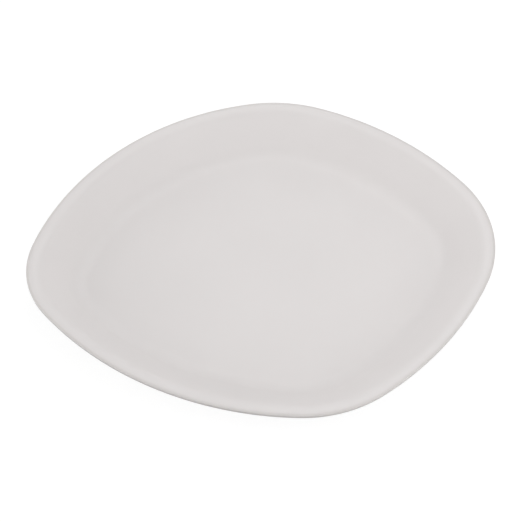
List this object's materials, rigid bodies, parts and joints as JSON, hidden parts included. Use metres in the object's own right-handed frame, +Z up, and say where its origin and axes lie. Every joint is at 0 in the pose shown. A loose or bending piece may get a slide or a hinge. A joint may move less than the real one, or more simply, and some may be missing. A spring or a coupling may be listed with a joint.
{
  "type": "oblong platter",
  "caption": "Oblong glazed ceramic platter with a soft kite outline, a flat well, a sloping rim that eases out to a thin trimmed lip with rounded edges, and a low bare foot ring, for serving food.",
  "frame": {"origin": "middle of the outline's length and width, on the plane that the foot ring stands on", "axes": "+X along the length, from the nose to the heel; +Y across the width; +Z up, out of the well"},
  "size_m": [0.356, 0.303, 0.029],
  "materials": {
    "bare_clay": "matte",
    "white_glaze": "satin"
  },
  "bodies": {
    "root": {"fired_body": "bare_clay", "outer_glaze": "white_glaze", "base_glaze": "white_glaze"}
  },
  "joints": []
}
